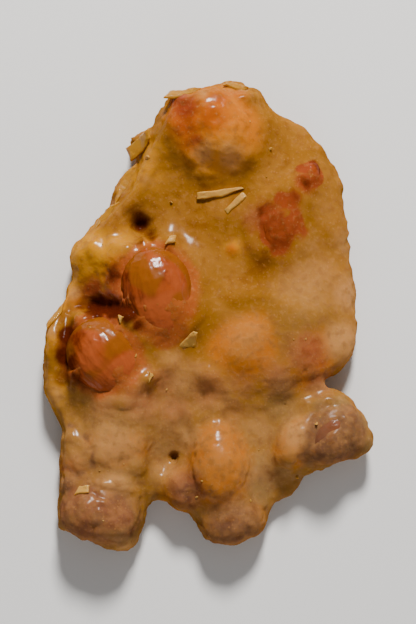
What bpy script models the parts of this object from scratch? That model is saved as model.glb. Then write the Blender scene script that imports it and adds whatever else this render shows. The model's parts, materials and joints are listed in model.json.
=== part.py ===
"""A broken piece of nut brittle lying on its flat side, its shown face up.

A pulled sheet of candy with a snapped outline carries whole nut kernels. Kernels that the candy
has covered are lumps fused into the sheet. Kernels whose skin is bare sit in sockets of their own.
Sizes are in millimetres, +X to the right, +Y up the piece and +Z off the table.
"""

import math
from typing import NamedTuple

import bmesh
import bpy
import numpy as np
from mathutils import Euler, Matrix, Vector, noise

MM = 0.001

# The sheet of candy.
SHEET_THICKNESS = 5.0
EDGE_THINNING = 0.34
EDGE_ROUNDING = 1.3
EDGE_CURL = 1.1
CURL_WIDTH = 2.2
TERRACE_DROP = 1.5
TERRACE_SOFTNESS = 0.9
CROWN_HEIGHT = 0.9
CROWN_WIDTH = 9.0
WAVE_HEIGHT = 0.7
WAVE_LENGTH = 7.5
RIPPLE_HEIGHT = 0.22
RIPPLE_LENGTH = 2.6
FRACTURE_DEPTH = 0.5
FRACTURE_LENGTH = 2.2
HOLLOW_HEIGHT = 1.2
HOLLOW_LENGTH = 8.0
HOLLOW_SHARE = 0.12

# How finely the candy is worked.
BLANK_VOXEL = 0.5
FUSED_VOXEL = 0.5
MELT_PASSES = 9
LUMP_HEIGHT = 0.45
LUMP_LENGTH = 4.2
LUMP_FADE = 2.5
CANDY_TRIANGLES = 6600
RESTING_FILM = 0.25

# The skirt of candy drawn up around each kernel.
SKIRT_SHARE = 0.42
SKIRT_WIDTH = 1.9

# The form of a kernel, as shares of its half sizes, and the socket that holds a bare one.
KERNEL_TAPER = 0.1
KERNEL_FLATNESS = 0.06
BEAK_START = 0.7
BEAK_LENGTH = 0.05
KERNEL_SEGMENTS = 18
KERNEL_RINGS = 12
SOCKET_GAP = 0.3

# The small hole through the web between the lower nuts.
HOLE_X = -4.6
HOLE_Y = -19.4
HOLE_DIAMETER = 1.8
HOLE_TAPER = 0.2
HOLE_SIDES = 12

# Where in the noise each unevenness is taken from.
WAVE_SEED = 11.3
RIPPLE_SEED = 4.7
HOLLOW_SEED = 57.7
FRACTURE_SEEDS = (21.9, 33.1)
LUMP_SEED = 71.5

# The finishes.
CANDY_COLOUR = (0.42, 0.18, 0.02)
CANDY_ROUGHNESS = 0.3
SKIN_COLOUR = (0.34, 0.07, 0.01)
SKIN_ROUGHNESS = 0.25

# The snapped outline of the sheet, clockwise from the tip left of the top nut.
BROKEN_EDGE = (
    (-5.2, 29.6), (-1.0, 30.2), (3.2, 31.2), (6.9, 30.0), (7.8, 27.6), (12.2, 25.4), (15.4, 22.5),
    (17.4, 18.9), (18.6, 12.4), (18.8, 8.0), (19.7, 1.6), (19.7, -3.6), (18.6, -6.2), (16.4, -8.6),
    (14.6, -8.6), (12.6, -10.6), (16.6, -10.9), (19.6, -12.8), (21.8, -17.4), (17.1, -20.1),
    (12.9, -21.6), (11.6, -23.6), (8.1, -25.6), (7.6, -29.0), (3.2, -31.2), (-0.6, -30.2),
    (-2.6, -26.6), (-5.9, -24.6), (-8.0, -25.2), (-8.6, -28.0), (-10.3, -31.5), (-15.1, -30.9),
    (-20.4, -28.2), (-20.0, -22.0), (-19.2, -16.4), (-22.0, -10.0), (-21.5, -3.4), (-18.0, 5.2),
    (-18.6, 7.8), (-12.9, 15.0), (-11.8, 18.4), (-9.4, 20.8), (-11.4, 23.8), (-7.6, 24.8),
)

# The foot of the shadowed step where the lower terrace begins, from left to right.
TERRACE_FOOT = (
    (-24.0, -14.6), (-17.0, -14.2), (-8.0, -13.4), (-3.6, -12.0), (2.6, -11.4), (9.0, -12.6),
    (24.0, -9.4),
)

# The middle of the broad smooth crown on the right.
CROWN = ((5.0, 12.0), (9.0, 2.0))


class Kernel(NamedTuple):
    """A nut kernel: its centre, its length, width and depth, and how it is turned and tipped."""

    name: str
    x: float
    y: float
    z: float
    length: float
    width: float
    depth: float
    turn: float
    tip: float = 0.0


# Kernels under the candy, each of which shows as a lump.
COVERED_KERNELS = (
    Kernel("top", 1.2, 24.2, 5.9, 11.6, 10.2, 9.2, -45, 5),
    Kernel("middle", 5.0, -4.2, 4.3, 13.8, 10.8, 7.6, 18),
    Kernel("right", 12.6, -5.4, 3.9, 9.8, 7.6, 5.4, 70),
    Kernel("low_left", -12.2, -17.4, 4.2, 10.2, 8.8, 7.8, 15),
    Kernel("split", -16.8, -19.6, 3.6, 6.6, 5.4, 5.4, 60),
    Kernel("low", 1.3, -20.2, 4.6, 11.8, 7.8, 8.0, 94, -6),
    Kernel("low_inner", -3.0, -23.2, 3.2, 7.0, 5.8, 5.6, 30),
    Kernel("foot", 3.3, -27.4, 3.6, 9.0, 6.8, 6.4, 12),
    Kernel("bridge", 11.8, -17.0, 4.2, 9.0, 5.6, 6.4, 52),
    Kernel("lobe", 16.4, -15.2, 3.4, 10.8, 9.2, 6.2, -40),
)

# Kernels whose skin is bare.
BARE_KERNELS = (
    Kernel("nut_upper", -6.8, 1.9, 6.2, 12.8, 9.8, 8.2, -78, -1),
    Kernel("nut_lower", -13.5, -6.5, 6.0, 11.2, 9.4, 8.2, -52, -4),
    Kernel("nut_sunk", 9.2, 11.4, 5.0, 9.6, 6.6, 5.4, -106),
    Kernel("nut_chip", 13.0, 17.5, 5.0, 4.8, 3.4, 3.4, 62),
    Kernel("nut_foot", -14.4, -26.9, 5.1, 9.4, 6.6, 5.8, -14),
    Kernel("nut_lobe", 16.1, -16.4, 5.0, 7.6, 5.8, 5.2, 42),
)


class Fold(NamedTuple):
    """A ridge in the sheet, or a groove where the height is negative, along a line of points."""

    width: float
    height: float
    line: tuple


FOLDS = (
    # the thin lip along the left edge and the gutter behind it
    Fold(0.8, 1.3, ((-19.4, 2.4), (-20.4, -3.2), (-20.7, -9.8), (-18.9, -13.6))),
    Fold(0.9, -1.3, ((-17.6, 2.6), (-18.9, -3.0), (-19.2, -9.0))),
    # the crest from the top nut down the left shoulder, and the slope outside it
    Fold(1.3, 1.5, ((-4.6, 27.2), (-6.6, 21.4), (-10.2, 15.4), (-13.4, 11.2))),
    Fold(1.1, -1.2, ((-8.4, 22.4), (-11.6, 16.0), (-14.6, 12.0))),
    # the glassy swell beside the upper nut
    Fold(2.3, 1.7, ((-16.2, 8.2), (-13.4, 7.2))),
    # the pit above the upper nut and the cleft between the two bare nuts
    Fold(1.2, -2.2, ((-9.2, 11.6), (-8.2, 10.2))),
    Fold(0.9, -2.4, ((-16.4, 0.8), (-12.2, 0.2))),
    # the small swells below the upper nut
    Fold(1.2, 1.0, ((-8.8, -9.6), (-5.2, -8.2))),
    Fold(1.3, 0.9, ((0.2, -8.4), (0.6, -8.8))),
    # the cleft beside the lobe
    Fold(1.0, -1.3, ((14.0, -9.8), (10.2, -12.6))),
    # the hollow webs between the lower nuts
    Fold(2.0, -1.0, ((-6.4, -20.4), (-3.8, -18.6))),
    Fold(1.6, -0.7, ((6.4, -18.0), (7.0, -23.4))),
)


def clear_scene():
    """Starts from an empty scene."""
    for obj in list(bpy.data.objects):
        bpy.data.objects.remove(obj)


def plain_material(name, colour, roughness):
    """A Principled material of one colour."""
    material = bpy.data.materials.new(name)
    material.use_nodes = True
    shader = material.node_tree.nodes["Principled BSDF"]
    shader.inputs["Base Color"].default_value = (*colour, 1.0)
    shader.inputs["Roughness"].default_value = roughness
    shader.inputs["Metallic"].default_value = 0.0
    return material


def put_in_scene(name, mesh, collection=None):
    """Makes an object from the mesh, in the scene's collection unless another is given."""
    obj = bpy.data.objects.new(name, mesh)
    (collection or bpy.context.scene.collection).objects.link(obj)
    return obj


def apply_modifiers(obj):
    """Makes the shape that the modifiers give the object's own mesh."""
    graph = bpy.context.evaluated_depsgraph_get()
    finished = bpy.data.meshes.new_from_object(obj.evaluated_get(graph))
    obj.modifiers.clear()
    obj.data = finished


def points_of(mesh):
    """The mesh's vertices in millimetres, one row each."""
    points = np.empty(len(mesh.vertices) * 3)
    mesh.vertices.foreach_get("co", points)
    return points.reshape(-1, 3) / MM


def set_points(mesh, points):
    """Moves the mesh's vertices to these places, in millimetres."""
    mesh.vertices.foreach_set("co", (points * MM).ravel())
    mesh.update()


def distance_to_line(x, y, line):
    """How far each place is from a line of points."""
    nearest = np.full(x.shape, np.inf)
    for (x0, y0), (x1, y1) in zip(line[:-1], line[1:]):
        run_x, run_y = x1 - x0, y1 - y0
        along = ((x - x0) * run_x + (y - y0) * run_y) / (run_x**2 + run_y**2)
        along = np.clip(along, 0.0, 1.0)
        nearest = np.minimum(nearest, np.hypot(x - x0 - along * run_x, y - y0 - along * run_y))
    return nearest


def wave(points, length, seed):
    """Smooth noise from -1 to 1 at each point, with swells about this long."""
    shift = Vector((seed, seed, seed))
    return np.array([noise.noise(Vector(p) / length + shift) for p in points])


def outside_kernel(x, y, kernel):
    """How far each place is beyond the kernel's rim, seen from above, and nought within it."""
    turn = math.radians(kernel.turn)
    along = (x - kernel.x) * math.cos(turn) + (y - kernel.y) * math.sin(turn)
    across = (y - kernel.y) * math.cos(turn) - (x - kernel.x) * math.sin(turn)
    ratio = np.hypot(along / (kernel.length / 2), across / (kernel.width / 2))
    reach = np.hypot(along, across)
    return np.maximum(0.0, reach * (1.0 - 1.0 / np.maximum(ratio, 1e-6)))


def top_of_sheet(x, y, edge):
    """The height of the sheet's upper face, drawn up in a skirt around each nut."""
    foot = np.interp(x, *np.transpose(TERRACE_FOOT))
    step = 1.0 / (1.0 + np.exp((y - foot) / TERRACE_SOFTNESS))
    crown = np.exp(-((distance_to_line(x, y, CROWN) / CROWN_WIDTH) ** 2))
    height = SHEET_THICKNESS - TERRACE_DROP * step + CROWN_HEIGHT * crown
    for fold in FOLDS:
        away = distance_to_line(x, y, fold.line) / fold.width
        height += fold.height * np.exp(-(away**2))
    flat = np.column_stack([x, y, np.zeros_like(x)])
    for kernel in COVERED_KERNELS + BARE_KERNELS:
        skirt = SKIRT_SHARE * max(0.0, kernel.z + kernel.depth / 2 - SHEET_THICKNESS)
        away = outside_kernel(x, y, kernel) / SKIRT_WIDTH
        height += skirt * np.exp(-(away**2))
    height += WAVE_HEIGHT * wave(flat, WAVE_LENGTH, WAVE_SEED)
    height += RIPPLE_HEIGHT * wave(flat, RIPPLE_LENGTH, RIPPLE_SEED)
    return height * (1.0 - EDGE_THINNING * np.exp(-edge / EDGE_ROUNDING))


def underside(x, y, edge):
    """The height of the lower face: flat on the table, with shallow hollows and a curled edge."""
    flat = np.column_stack([x, y, np.zeros_like(x)])
    hollows = np.maximum(0.0, wave(flat, HOLLOW_LENGTH, HOLLOW_SEED) - HOLLOW_SHARE)
    return HOLLOW_HEIGHT * hollows + EDGE_CURL * np.exp(-((edge / CURL_WIDTH) ** 2))


def sheet_of_candy():
    """The snapped sheet: a blank cut to the outline, then drawn to its upper and lower faces."""
    frame = bmesh.new()
    corners = [frame.verts.new((x * MM, y * MM, 0.0)) for x, y in BROKEN_EDGE]
    base = frame.faces.new(corners)
    raised = bmesh.ops.extrude_face_region(frame, geom=[base])
    lifted = [part for part in raised["geom"] if isinstance(part, bmesh.types.BMVert)]
    bmesh.ops.translate(frame, verts=lifted, vec=(0.0, 0.0, SHEET_THICKNESS * MM))
    bmesh.ops.recalc_face_normals(frame, faces=frame.faces)
    mesh = bpy.data.meshes.new("sheet")
    frame.to_mesh(mesh)
    frame.free()
    sheet = put_in_scene("candy", mesh)
    blank = sheet.modifiers.new("blank", "REMESH")
    blank.mode = "VOXEL"
    blank.voxel_size = BLANK_VOXEL * MM
    apply_modifiers(sheet)

    points = points_of(sheet.data)
    x, y, z = points.T
    edge = distance_to_line(x, y, BROKEN_EDGE + BROKEN_EDGE[:1])
    near_edge = np.exp(-((edge / EDGE_ROUNDING) ** 2))
    under = underside(x, y, edge)
    upper = top_of_sheet(x, y, edge)
    drawn = points.copy()
    for axis, seed in enumerate(FRACTURE_SEEDS):
        drawn[:, axis] += FRACTURE_DEPTH * near_edge * wave(points, FRACTURE_LENGTH, seed)
    drawn[:, 2] = under + (z / SHEET_THICKNESS) * (upper - under)
    set_points(sheet.data, drawn)
    return sheet


def kernel_mesh(kernel, grown=0.0):
    """A nut kernel: an oval that tapers to a blunt beak, larger all round by the amount grown."""
    body = bmesh.new()
    bmesh.ops.create_uvsphere(body, u_segments=KERNEL_SEGMENTS, v_segments=KERNEL_RINGS, radius=1.0)
    half = Vector((kernel.length / 2 + grown, kernel.width / 2 + grown, kernel.depth / 2 + grown))
    for vert in body.verts:
        across, deep, along = vert.co
        taper = 1.0 - KERNEL_TAPER * along
        flatter = 1.0 - KERNEL_FLATNESS * deep
        beak = BEAK_LENGTH * max(0.0, along - BEAK_START) / (1.0 - BEAK_START)
        vert.co = Vector(((along + beak) * half.x, across * taper * half.y, deep * taper * flatter * half.z))
    turned = Euler((0.0, math.radians(-kernel.tip), math.radians(kernel.turn)), "XYZ").to_matrix()
    place = Matrix.Translation(Vector((kernel.x, kernel.y, kernel.z))) @ turned.to_4x4()
    bmesh.ops.transform(body, matrix=Matrix.Scale(MM, 4) @ place, verts=body.verts)
    bmesh.ops.recalc_face_normals(body, faces=body.faces)
    mesh = bpy.data.meshes.new(kernel.name)
    body.to_mesh(mesh)
    body.free()
    mesh.shade_smooth()
    return mesh


def helpers(name, meshes):
    """A collection of helper objects, one for each mesh."""
    collection = bpy.data.collections.new(name)
    bpy.context.scene.collection.children.link(collection)
    for mesh in meshes:
        put_in_scene(f"{name}_{mesh.name}", mesh, collection)
    return collection


def combine(obj, operation, collection):
    """Joins the collection's objects to the object, or cuts them from it, then removes them."""
    boolean = obj.modifiers.new(operation.lower(), "BOOLEAN")
    boolean.operation = operation
    boolean.operand_type = "COLLECTION"
    boolean.collection = collection
    boolean.solver = "EXACT"
    apply_modifiers(obj)
    for helper in list(collection.objects):
        bpy.data.objects.remove(helper)
    bpy.data.collections.remove(collection)


def melt_together(candy):
    """Softens the joins between the sheet and its lumps, and swells it unevenly above its base."""
    fused = candy.modifiers.new("fused", "REMESH")
    fused.mode = "VOXEL"
    fused.voxel_size = FUSED_VOXEL * MM
    melted = candy.modifiers.new("melted", "SMOOTH")
    melted.factor = 0.5
    melted.iterations = MELT_PASSES
    apply_modifiers(candy)
    points = points_of(candy.data)
    outward = np.empty(len(points) * 3)
    candy.data.vertices.foreach_get("normal", outward)
    above_base = np.clip(points[:, 2] / LUMP_FADE, 0.0, 1.0)
    uneven = LUMP_HEIGHT * above_base * wave(points, LUMP_LENGTH, LUMP_SEED)
    set_points(candy.data, points + uneven[:, None] * outward.reshape(-1, 3))
    fewer = candy.modifiers.new("fewer faces", "DECIMATE")
    fewer.ratio = min(1.0, CANDY_TRIANGLES / (2 * len(candy.data.polygons)))
    fewer.use_collapse_triangulate = True
    apply_modifiers(candy)


def flatten_underside(candy):
    """Gives the candy the flat face that it rests on."""
    points = points_of(candy.data)
    floor = points[:, 2].min()
    points[:, 2] = np.where(points[:, 2] < floor + RESTING_FILM, 0.0, points[:, 2] - floor)
    set_points(candy.data, points)


def hole_mesh():
    """A round cutter that runs past both faces of the sheet."""
    radius = HOLE_DIAMETER / 2 * MM
    cutter = bmesh.new()
    bmesh.ops.create_cone(
        cutter, cap_ends=True, cap_tris=False, segments=HOLE_SIDES,
        radius1=radius * (1.0 - HOLE_TAPER), radius2=radius * (1.0 + HOLE_TAPER),
        depth=3 * SHEET_THICKNESS * MM,
        matrix=Matrix.Translation(Vector((HOLE_X, HOLE_Y, SHEET_THICKNESS / 2)) * MM),
    )
    mesh = bpy.data.meshes.new("hole")
    cutter.to_mesh(mesh)
    cutter.free()
    return mesh


def candy_piece():
    """The candy: the sheet with its covered kernels, the sockets of the bare ones and the hole."""
    candy = sheet_of_candy()
    combine(candy, "UNION", helpers("covered", [kernel_mesh(k) for k in COVERED_KERNELS]))
    melt_together(candy)
    flatten_underside(candy)
    sockets = [kernel_mesh(k, grown=SOCKET_GAP) for k in BARE_KERNELS]
    combine(candy, "DIFFERENCE", helpers("socket", sockets + [hole_mesh()]))
    candy.data.materials.clear()
    candy.data.materials.append(plain_material("candy", CANDY_COLOUR, CANDY_ROUGHNESS))
    return candy


def bare_kernels():
    """One object for each kernel whose skin shows, all of the same finish."""
    skin = plain_material("nut_skin", SKIN_COLOUR, SKIN_ROUGHNESS)
    kernels = []
    for kernel in BARE_KERNELS:
        obj = put_in_scene(kernel.name, kernel_mesh(kernel))
        obj.data.materials.append(skin)
        kernels.append(obj)
    return kernels


def centre_on_base(pieces):
    """Moves the pieces together so that the origin is under the middle of the whole."""
    corners = np.vstack([points_of(piece.data) for piece in pieces])
    low, high = corners.min(axis=0), corners.max(axis=0)
    shift = np.array([(low[0] + high[0]) / 2, (low[1] + high[1]) / 2, low[2]])
    for piece in pieces:
        set_points(piece.data, points_of(piece.data) - shift)


def main():
    """Builds the whole piece of brittle."""
    clear_scene()
    centre_on_base([candy_piece(), *bare_kernels()])


main()
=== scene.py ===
"""Dresses a broken piece of nut brittle: glossy amber candy, glazed nuts, flakes and crumbs.

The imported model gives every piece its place. The candy is worked again as one fine mesh that wets
the nuts, each bare nut gets its wrinkled skin, and thin flakes, slivers and crumbs of candy lie on
top. Lengths here are in millimetres unless a name or a unit says metres.
"""

import json
import math
import random
from typing import NamedTuple

import bmesh
import bpy
import numpy as np
from mathutils import Euler, Matrix, Vector, noise
from mathutils.bvhtree import BVHTree
from mathutils.kdtree import KDTree

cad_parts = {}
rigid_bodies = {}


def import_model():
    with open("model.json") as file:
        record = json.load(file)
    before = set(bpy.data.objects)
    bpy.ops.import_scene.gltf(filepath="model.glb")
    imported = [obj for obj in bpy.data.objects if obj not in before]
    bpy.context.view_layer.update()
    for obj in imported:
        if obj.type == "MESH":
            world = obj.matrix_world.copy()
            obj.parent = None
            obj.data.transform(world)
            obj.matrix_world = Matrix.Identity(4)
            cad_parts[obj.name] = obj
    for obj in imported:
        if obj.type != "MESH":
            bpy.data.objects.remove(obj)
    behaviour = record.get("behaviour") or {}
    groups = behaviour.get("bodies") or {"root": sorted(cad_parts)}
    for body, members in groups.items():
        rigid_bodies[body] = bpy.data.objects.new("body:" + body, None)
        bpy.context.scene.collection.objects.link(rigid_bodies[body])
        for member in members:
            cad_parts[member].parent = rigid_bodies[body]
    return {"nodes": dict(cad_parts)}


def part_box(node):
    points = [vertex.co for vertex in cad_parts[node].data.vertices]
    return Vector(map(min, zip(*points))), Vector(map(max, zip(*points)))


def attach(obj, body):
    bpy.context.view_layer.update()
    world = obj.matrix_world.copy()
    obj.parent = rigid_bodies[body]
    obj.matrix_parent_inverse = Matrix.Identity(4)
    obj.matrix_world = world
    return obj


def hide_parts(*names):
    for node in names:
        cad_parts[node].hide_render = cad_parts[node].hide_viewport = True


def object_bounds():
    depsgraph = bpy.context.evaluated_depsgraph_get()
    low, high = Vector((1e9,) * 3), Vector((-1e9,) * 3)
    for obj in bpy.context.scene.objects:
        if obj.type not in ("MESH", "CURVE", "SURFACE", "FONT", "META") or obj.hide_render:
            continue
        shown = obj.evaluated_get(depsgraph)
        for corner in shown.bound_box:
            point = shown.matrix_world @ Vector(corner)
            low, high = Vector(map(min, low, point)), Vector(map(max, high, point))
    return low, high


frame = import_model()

bl_info = {
    "name": "Nut brittle piece",
    "version": (1, 0, 0),
    "blender": (4, 5, 0),
    "location": "3D View > Sidebar > Brittle",
    "description": "Makes a broken piece of nut brittle with glazed nuts",
    "category": "Object",
}

MM = 0.001
CAD_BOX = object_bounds()


def colour_setting(name, description, *colour):
    """A colour that the panel shows."""
    return bpy.props.FloatVectorProperty(
        name=name, description=description, subtype="COLOR", size=3, min=0.0, max=1.0, default=colour,
    )


def length_setting(name, description, least, most, length):
    """A length in metres that the panel shows."""
    return bpy.props.FloatProperty(
        name=name, description=description, unit="LENGTH", min=least, max=most, default=length,
    )


class CandySettings(bpy.types.PropertyGroup):
    """The candy's sizes and colours."""

    golden: colour_setting("Golden", "Thick candy, full of fine bubbles", 0.265, 0.104, 0.009)
    pale: colour_setting("Pale", "Candy where the bubbles are closest", 0.34, 0.139, 0.021)
    amber: colour_setting("Amber", "Thin clear candy", 0.68, 0.275, 0.002)
    # Painted shade: this dark colour darkens the hollows and the shaded patches; it also gives the candy a
    # random darker mottle.
    shade_and_deep_tone: colour_setting("Recess", "Deep clear candy in the hollows", 0.15, 0.040, 0.003)
    over_nut: colour_setting("Over a nut", "Candy that a nut shows through", 0.58, 0.15, 0.007)
    red_stain: colour_setting("Red stain", "Candy with red nut skin just under it", 0.26, 0.038, 0.012)
    # The milky colour also paints light under the top nut and highlights on two nuts.
    milky_and_light: colour_setting("Milky", "Candy that is dull with fine bubbles", 0.54, 0.25, 0.08)
    # The dusky colour also paints shade under the dome and at the notch above the lobe.
    dusky_and_shade: colour_setting("Dusky", "Dull brown candy over small nuts and beside them", 0.15, 0.070, 0.038)
    rosy: colour_setting("Rosy", "Milky candy that took colour from the nuts", 0.40, 0.135, 0.05)
    straw: colour_setting("Straw", "Dull yellow candy of the lower half", 0.25, 0.145, 0.05)
    copper: colour_setting("Copper", "Clear candy right over red skin", 0.42, 0.078, 0.004)
    grain: length_setting("Grain", "Edge length of the candy's fine mesh", 0.0002, 0.001, 0.00027)
    fillet: length_setting("Fillet", "How far the candy creeps up the nuts", 0.0002, 0.002, 0.0005)
    ripple: length_setting("Ripple", "Height of the pulled ripples", 0.0, 0.001, 0.00022)
    knobs: length_setting("Knobs", "Height of the knobs over wrinkled skin", 0.0, 0.001, 0.0003)
    chip: length_setting("Chip", "Depth of the facets along the snapped edge", 0.0, 0.001, 0.0004)
    # Painted shade: the near black red that darkens the clefts round the nuts.
    cleft_shade: colour_setting("Cleft", "The dark red of the clefts round the bare nuts", 0.06, 0.006, 0.001)
    bubbles: bpy.props.IntProperty(
        name="Bubbles", description="How many burst bubbles pit the candy",
        min=0, max=2000, default=110,
    )


class NutSettings(bpy.types.PropertyGroup):
    """The nuts' sizes and colours."""

    skin: colour_setting("Skin", "Roasted nut skin", 0.29, 0.050, 0.006)
    # The dark skin colour also paints shade in the clefts and on the nuts' steep and left-facing sides.
    dark: colour_setting("Dark skin", "Skin along its veins and in its wrinkles", 0.115, 0.016, 0.002)
    glazed: colour_setting("Glazed", "Skin under a thicker film of candy", 0.385, 0.079, 0.017)
    gold: colour_setting("Gold", "Skin under clear golden candy", 0.23, 0.066, 0.003)
    grain: length_setting("Grain", "Edge length of the nuts' fine mesh", 0.0001, 0.001, 0.00017)
    wrinkle: length_setting("Wrinkle", "Height of the wrinkles in the skin", 0.0, 0.0005, 0.000025)


class ScrapSettings(bpy.types.PropertyGroup):
    """The loose scraps that lie on the piece."""

    pale: colour_setting("Pale", "Thin slivers and crumbs", 0.52, 0.27, 0.055)
    clear: colour_setting("Clear", "Flakes that stand off the snapped edge", 0.38, 0.165, 0.010)
    crumbs: bpy.props.IntProperty(
        name="Crumbs", description="How many crumbs lie on the piece",
        min=0, max=500, default=24,
    )


class StageSettings(bpy.types.PropertyGroup):
    """The floor, the lights and the camera."""

    floor: colour_setting("Floor", "Colour of the floor", 0.9, 0.9, 0.91)
    light: colour_setting("Light", "Colour of the light, a little warm", 1.0, 0.97, 0.92)
    key_watts: bpy.props.FloatProperty(
        name="Key light", description="Power of the soft light beyond the piece",
        unit="POWER", min=0.0, max=100.0, default=5.5,
    )
    front_watts: bpy.props.FloatProperty(
        name="Front light", description="Power of the broad low light before the piece",
        unit="POWER", min=0.0, max=100.0, default=0.7,
    )
    fill: bpy.props.FloatProperty(
        name="Fill", description="Strength of the light from all round",
        min=0.0, max=5.0, default=0.17,
    )
    elevation: bpy.props.FloatProperty(
        name="Elevation", description="How steeply the camera looks down",
        subtype="ANGLE", min=0.0, max=math.pi / 2, default=math.radians(84),
    )
    lens_mm: bpy.props.FloatProperty(
        name="Lens", description="Focal length in millimetres",
        min=20.0, max=300.0, default=100.0,
    )


class BareNut(NamedTuple):
    """A nut whose skin shows: where and how much of it a film of candy covers, and how it looks."""

    node: str
    film_side: tuple
    film_share: float
    darkness: float
    dullness: float = 0.0


BARE_NUTS = (
    BareNut("nut_upper", (0.45, -0.89), 0.26, 0.0),
    BareNut("nut_lower", (0.8, -0.6), 0.28, 0.0),
    BareNut("nut_sunk", (-0.6, -0.8), 0.94, 0.7),
    BareNut("nut_chip", (-0.4, -0.9), 0.75, 0.9),
    BareNut("nut_foot", (-0.7, 0.7), 1.0, 0.6, 0.7),
    BareNut("nut_lobe", (-0.6, 0.8), 1.0, 0.7, 0.95),
)


class Kernel(NamedTuple):
    """A nut: its middle, its half sizes, the directions they run in, and how it shows through."""

    middle: np.ndarray
    half: np.ndarray
    axes: np.ndarray
    veil: float
    redness: float
    dullness: float


def coated(place, size, turn, veil, redness, dullness=0.0):
    """A nut under the candy, from its place and size, its turn in degrees and how it shows."""
    axes = np.array(Matrix.Rotation(math.radians(turn), 3, "Z")).T
    return Kernel(np.array(place), np.array(size) / 2, axes, veil, redness, dullness)


COATED_NUTS = (
    # the one at the top, the dome in the middle and the one under the red patch beside it
    coated((1.2, 24.2, 5.6), (11.0, 9.8, 8.4), -45, 1.0, 0.25),
    coated((5.1, -4.2, 4.2), (12.6, 9.6, 6.6), 18, 0.55, 0.0),
    coated((12.7, -5.4, 3.9), (8.8, 6.6, 4.6), 70, 0.9, 0.75),
    # the whole and the split one at the lower left
    coated((-12.1, -17.4, 4.1), (9.2, 7.8, 6.8), 15, 0.35, 0.0),
    coated((-16.7, -19.6, 3.5), (5.8, 4.6, 4.6), 60, 0.45, 0.6, 0.5),
    # the two of the lower middle, and the one in the foot below them
    coated((1.4, -20.2, 4.5), (10.8, 6.8, 7.0), 94, 0.9, 0.1),
    coated((-2.9, -23.2, 3.1), (6.2, 5.0, 4.8), 30, 0.8, 0.9, 0.5),
    coated((3.4, -27.4, 3.5), (8.2, 6.0, 5.6), 12, 0.5, 0.3, 0.7),
    # the one on the way to the right lobe, and the one in the lobe
    coated((11.9, -17.0, 4.1), (8.2, 4.8, 5.6), 52, 0.4, 0.3),
    coated((16.5, -15.2, 3.3), (9.8, 8.2, 5.4), -40, 0.35, 0.2, 0.7),
)


class Blob(NamedTuple):
    """A lump of candy that ran together round the nuts: its middle, half sizes and turn in degrees."""

    x: float
    y: float
    z: float
    half: tuple
    turn: float


BLOBS = (
    # round the large nut at the top
    Blob(4.6, 20.8, 5.4, (2.4, 2.4, 3.3), 0),
    Blob(-2.6, 27.6, 5.2, (2.3, 1.8, 3.2), 0),
    Blob(4.4, 28.0, 5.0, (2.2, 1.8, 3.1), 0),
    Blob(-1.6, 21.0, 4.6, (2.4, 2.6, 3.3), 0),
    Blob(1.2, 19.4, 3.8, (5.2, 3.0, 3.5), 0),
    # between the two dark red nuts on the right
    Blob(10.9, 14.1, 3.8, (1.5, 2.0, 2.9), -30),
    # between and beside the nuts at the lower left
    Blob(-13.2, -22.9, 3.6, (5.0, 2.0, 3.4), -10),
    Blob(-10.0, -25.4, 3.2, (1.5, 3.2, 2.8), 0),
    Blob(-18.1, -22.8, 3.2, (1.4, 2.6, 2.9), 0),
    Blob(-11.5, -28.6, 3.0, (1.8, 2.3, 2.6), 20),
    Blob(-17.5, -17.0, 3.4, (1.8, 3.4, 2.7), 0),
    Blob(-9.8, -19.8, 3.6, (2.2, 3.0, 3.2), 0),
    Blob(-13.5, -14.4, 3.2, (3.4, 1.6, 3.0), 0),
)


class Shard(NamedTuple):
    """A thin scrap of candy: its outline about its own middle, its place, turn, tilt and depth."""

    outline: tuple
    x: float
    y: float
    turn: float
    tilt: float
    depth: float
    curl: float = 0.0


# Pale dry slivers and bits that lie on the piece.
SLIVERS = (
    # the bent sliver below the top nut, in two lengths
    Shard(
        ((-3.2, -0.6), (-3.1, 0.3), (-1.0, 0.4), (2.6, 0.7), (3.3, 0.5), (0.2, -0.5)),
        x=1.6, y=15.7, turn=3, tilt=2, depth=0.45,
    ),
    Shard(
        ((-0.5, -1.8), (0.2, -1.9), (0.6, 0.2), (0.7, 1.5), (-0.2, 1.6)),
        x=3.7, y=14.5, turn=-40, tilt=-3, depth=0.45,
    ),
    # the three-cornered bit between the bare nuts and the dome
    Shard(
        ((-1.6, -0.9), (0.2, -1.2), (1.0, -1.0), (1.3, 1.1), (0.8, 1.3), (-0.4, 0.2)),
        x=-2.6, y=-3.9, turn=5, tilt=8, depth=0.4,
    ),
    # small bits beside the upper nut, in the cleft and on the lower nuts
    Shard(
        ((-1.0, -0.4), (0.5, -0.6), (1.1, 0.2), (0.2, 0.5)),
        x=-5.0, y=9.2, turn=30, tilt=10, depth=0.5,
    ),
    Shard(
        ((-0.5, -0.4), (0.5, -0.4), (0.4, 0.5)),
        x=-11.4, y=-1.3, turn=60, tilt=8, depth=0.5,
    ),
    Shard(
        ((-1.1, -0.5), (0.9, -0.6), (1.1, 0.4), (-0.3, 0.6)),
        x=-16.3, y=-23.4, turn=10, tilt=4, depth=0.4,
    ),
    Shard(
        ((-0.7, -0.3), (0.5, -0.4), (0.6, 0.4)),
        x=-7.6, y=-8.8, turn=60, tilt=6, depth=0.4,
    ),
)

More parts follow.
